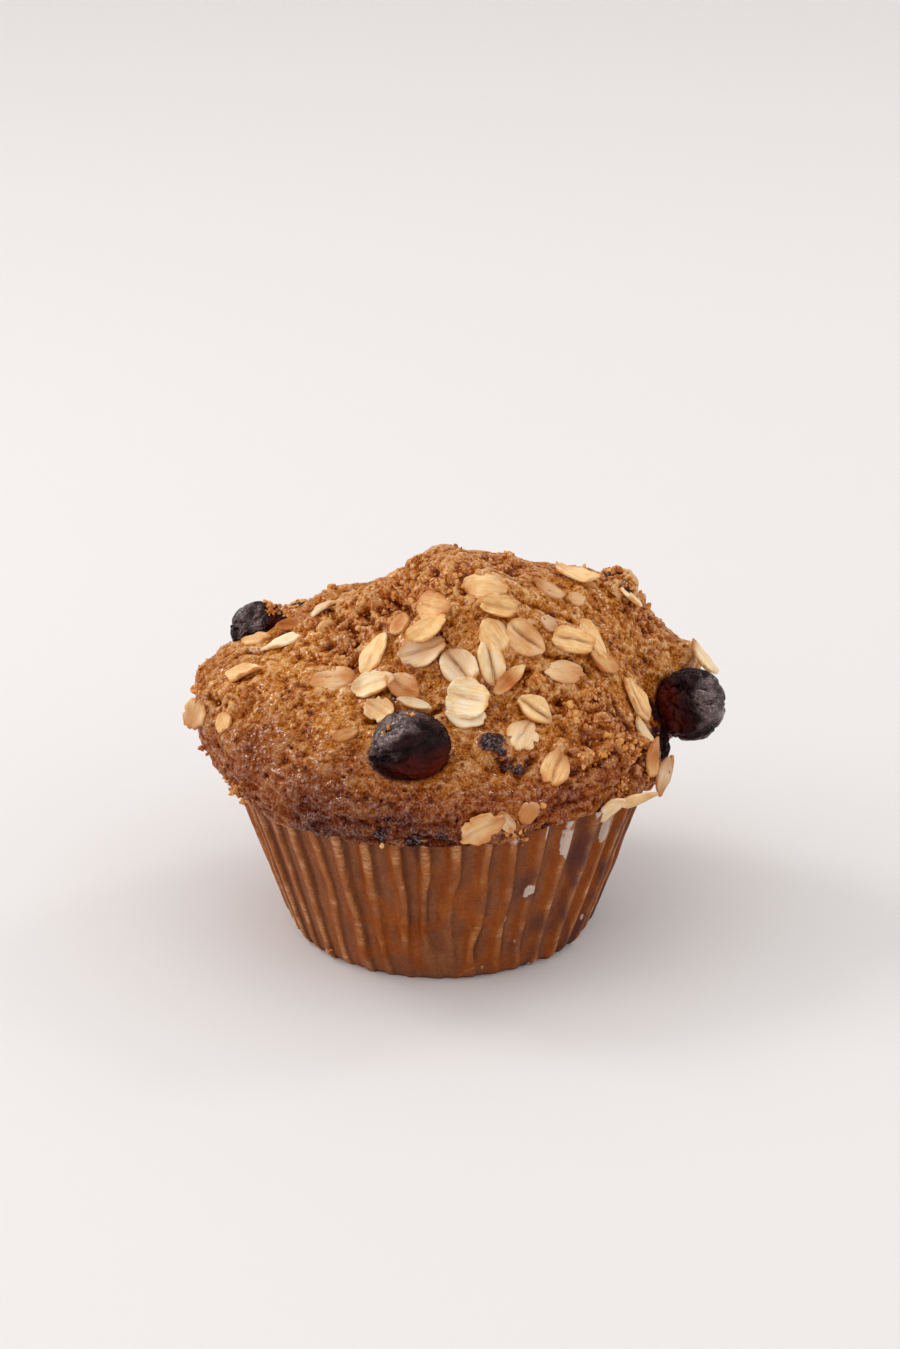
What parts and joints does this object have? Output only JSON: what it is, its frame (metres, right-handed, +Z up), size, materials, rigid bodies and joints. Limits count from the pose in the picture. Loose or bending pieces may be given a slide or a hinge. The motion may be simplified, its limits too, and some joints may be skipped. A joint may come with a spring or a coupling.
{
  "type": "muffin",
  "caption": "Bakery muffin with a craggy domed top, dark baked-in berries and rolled oats, in its pleated paper case.",
  "frame": {"origin": "centre of the flat foot of the paper case, on the plane that the muffin stands on", "axes": "+Z up through the middle of the case; -Y towards the muffin's front; +X to its right as seen from the front"},
  "size_m": [0.0969, 0.0823, 0.0713],
  "materials": {
    "greaseproof_paper": "oil-soaked, semi-gloss",
    "crust": "baked, porous, slightly moist",
    "berry_skin": "wrinkled, glossy",
    "rolled_oats": "dry, satin"
  },
  "bodies": {
    "root": {"paper_case": "greaseproof_paper", "cake": "crust", "berry_front": "berry_skin", "berry_left": "berry_skin", "berry_right": "berry_skin", "berry_right_low": "berry_skin", "berry_front_sunk": "berry_skin", "berry_top_sunk": "berry_skin", "berry_back_sunk": "berry_skin"}
  },
  "joints": []
}
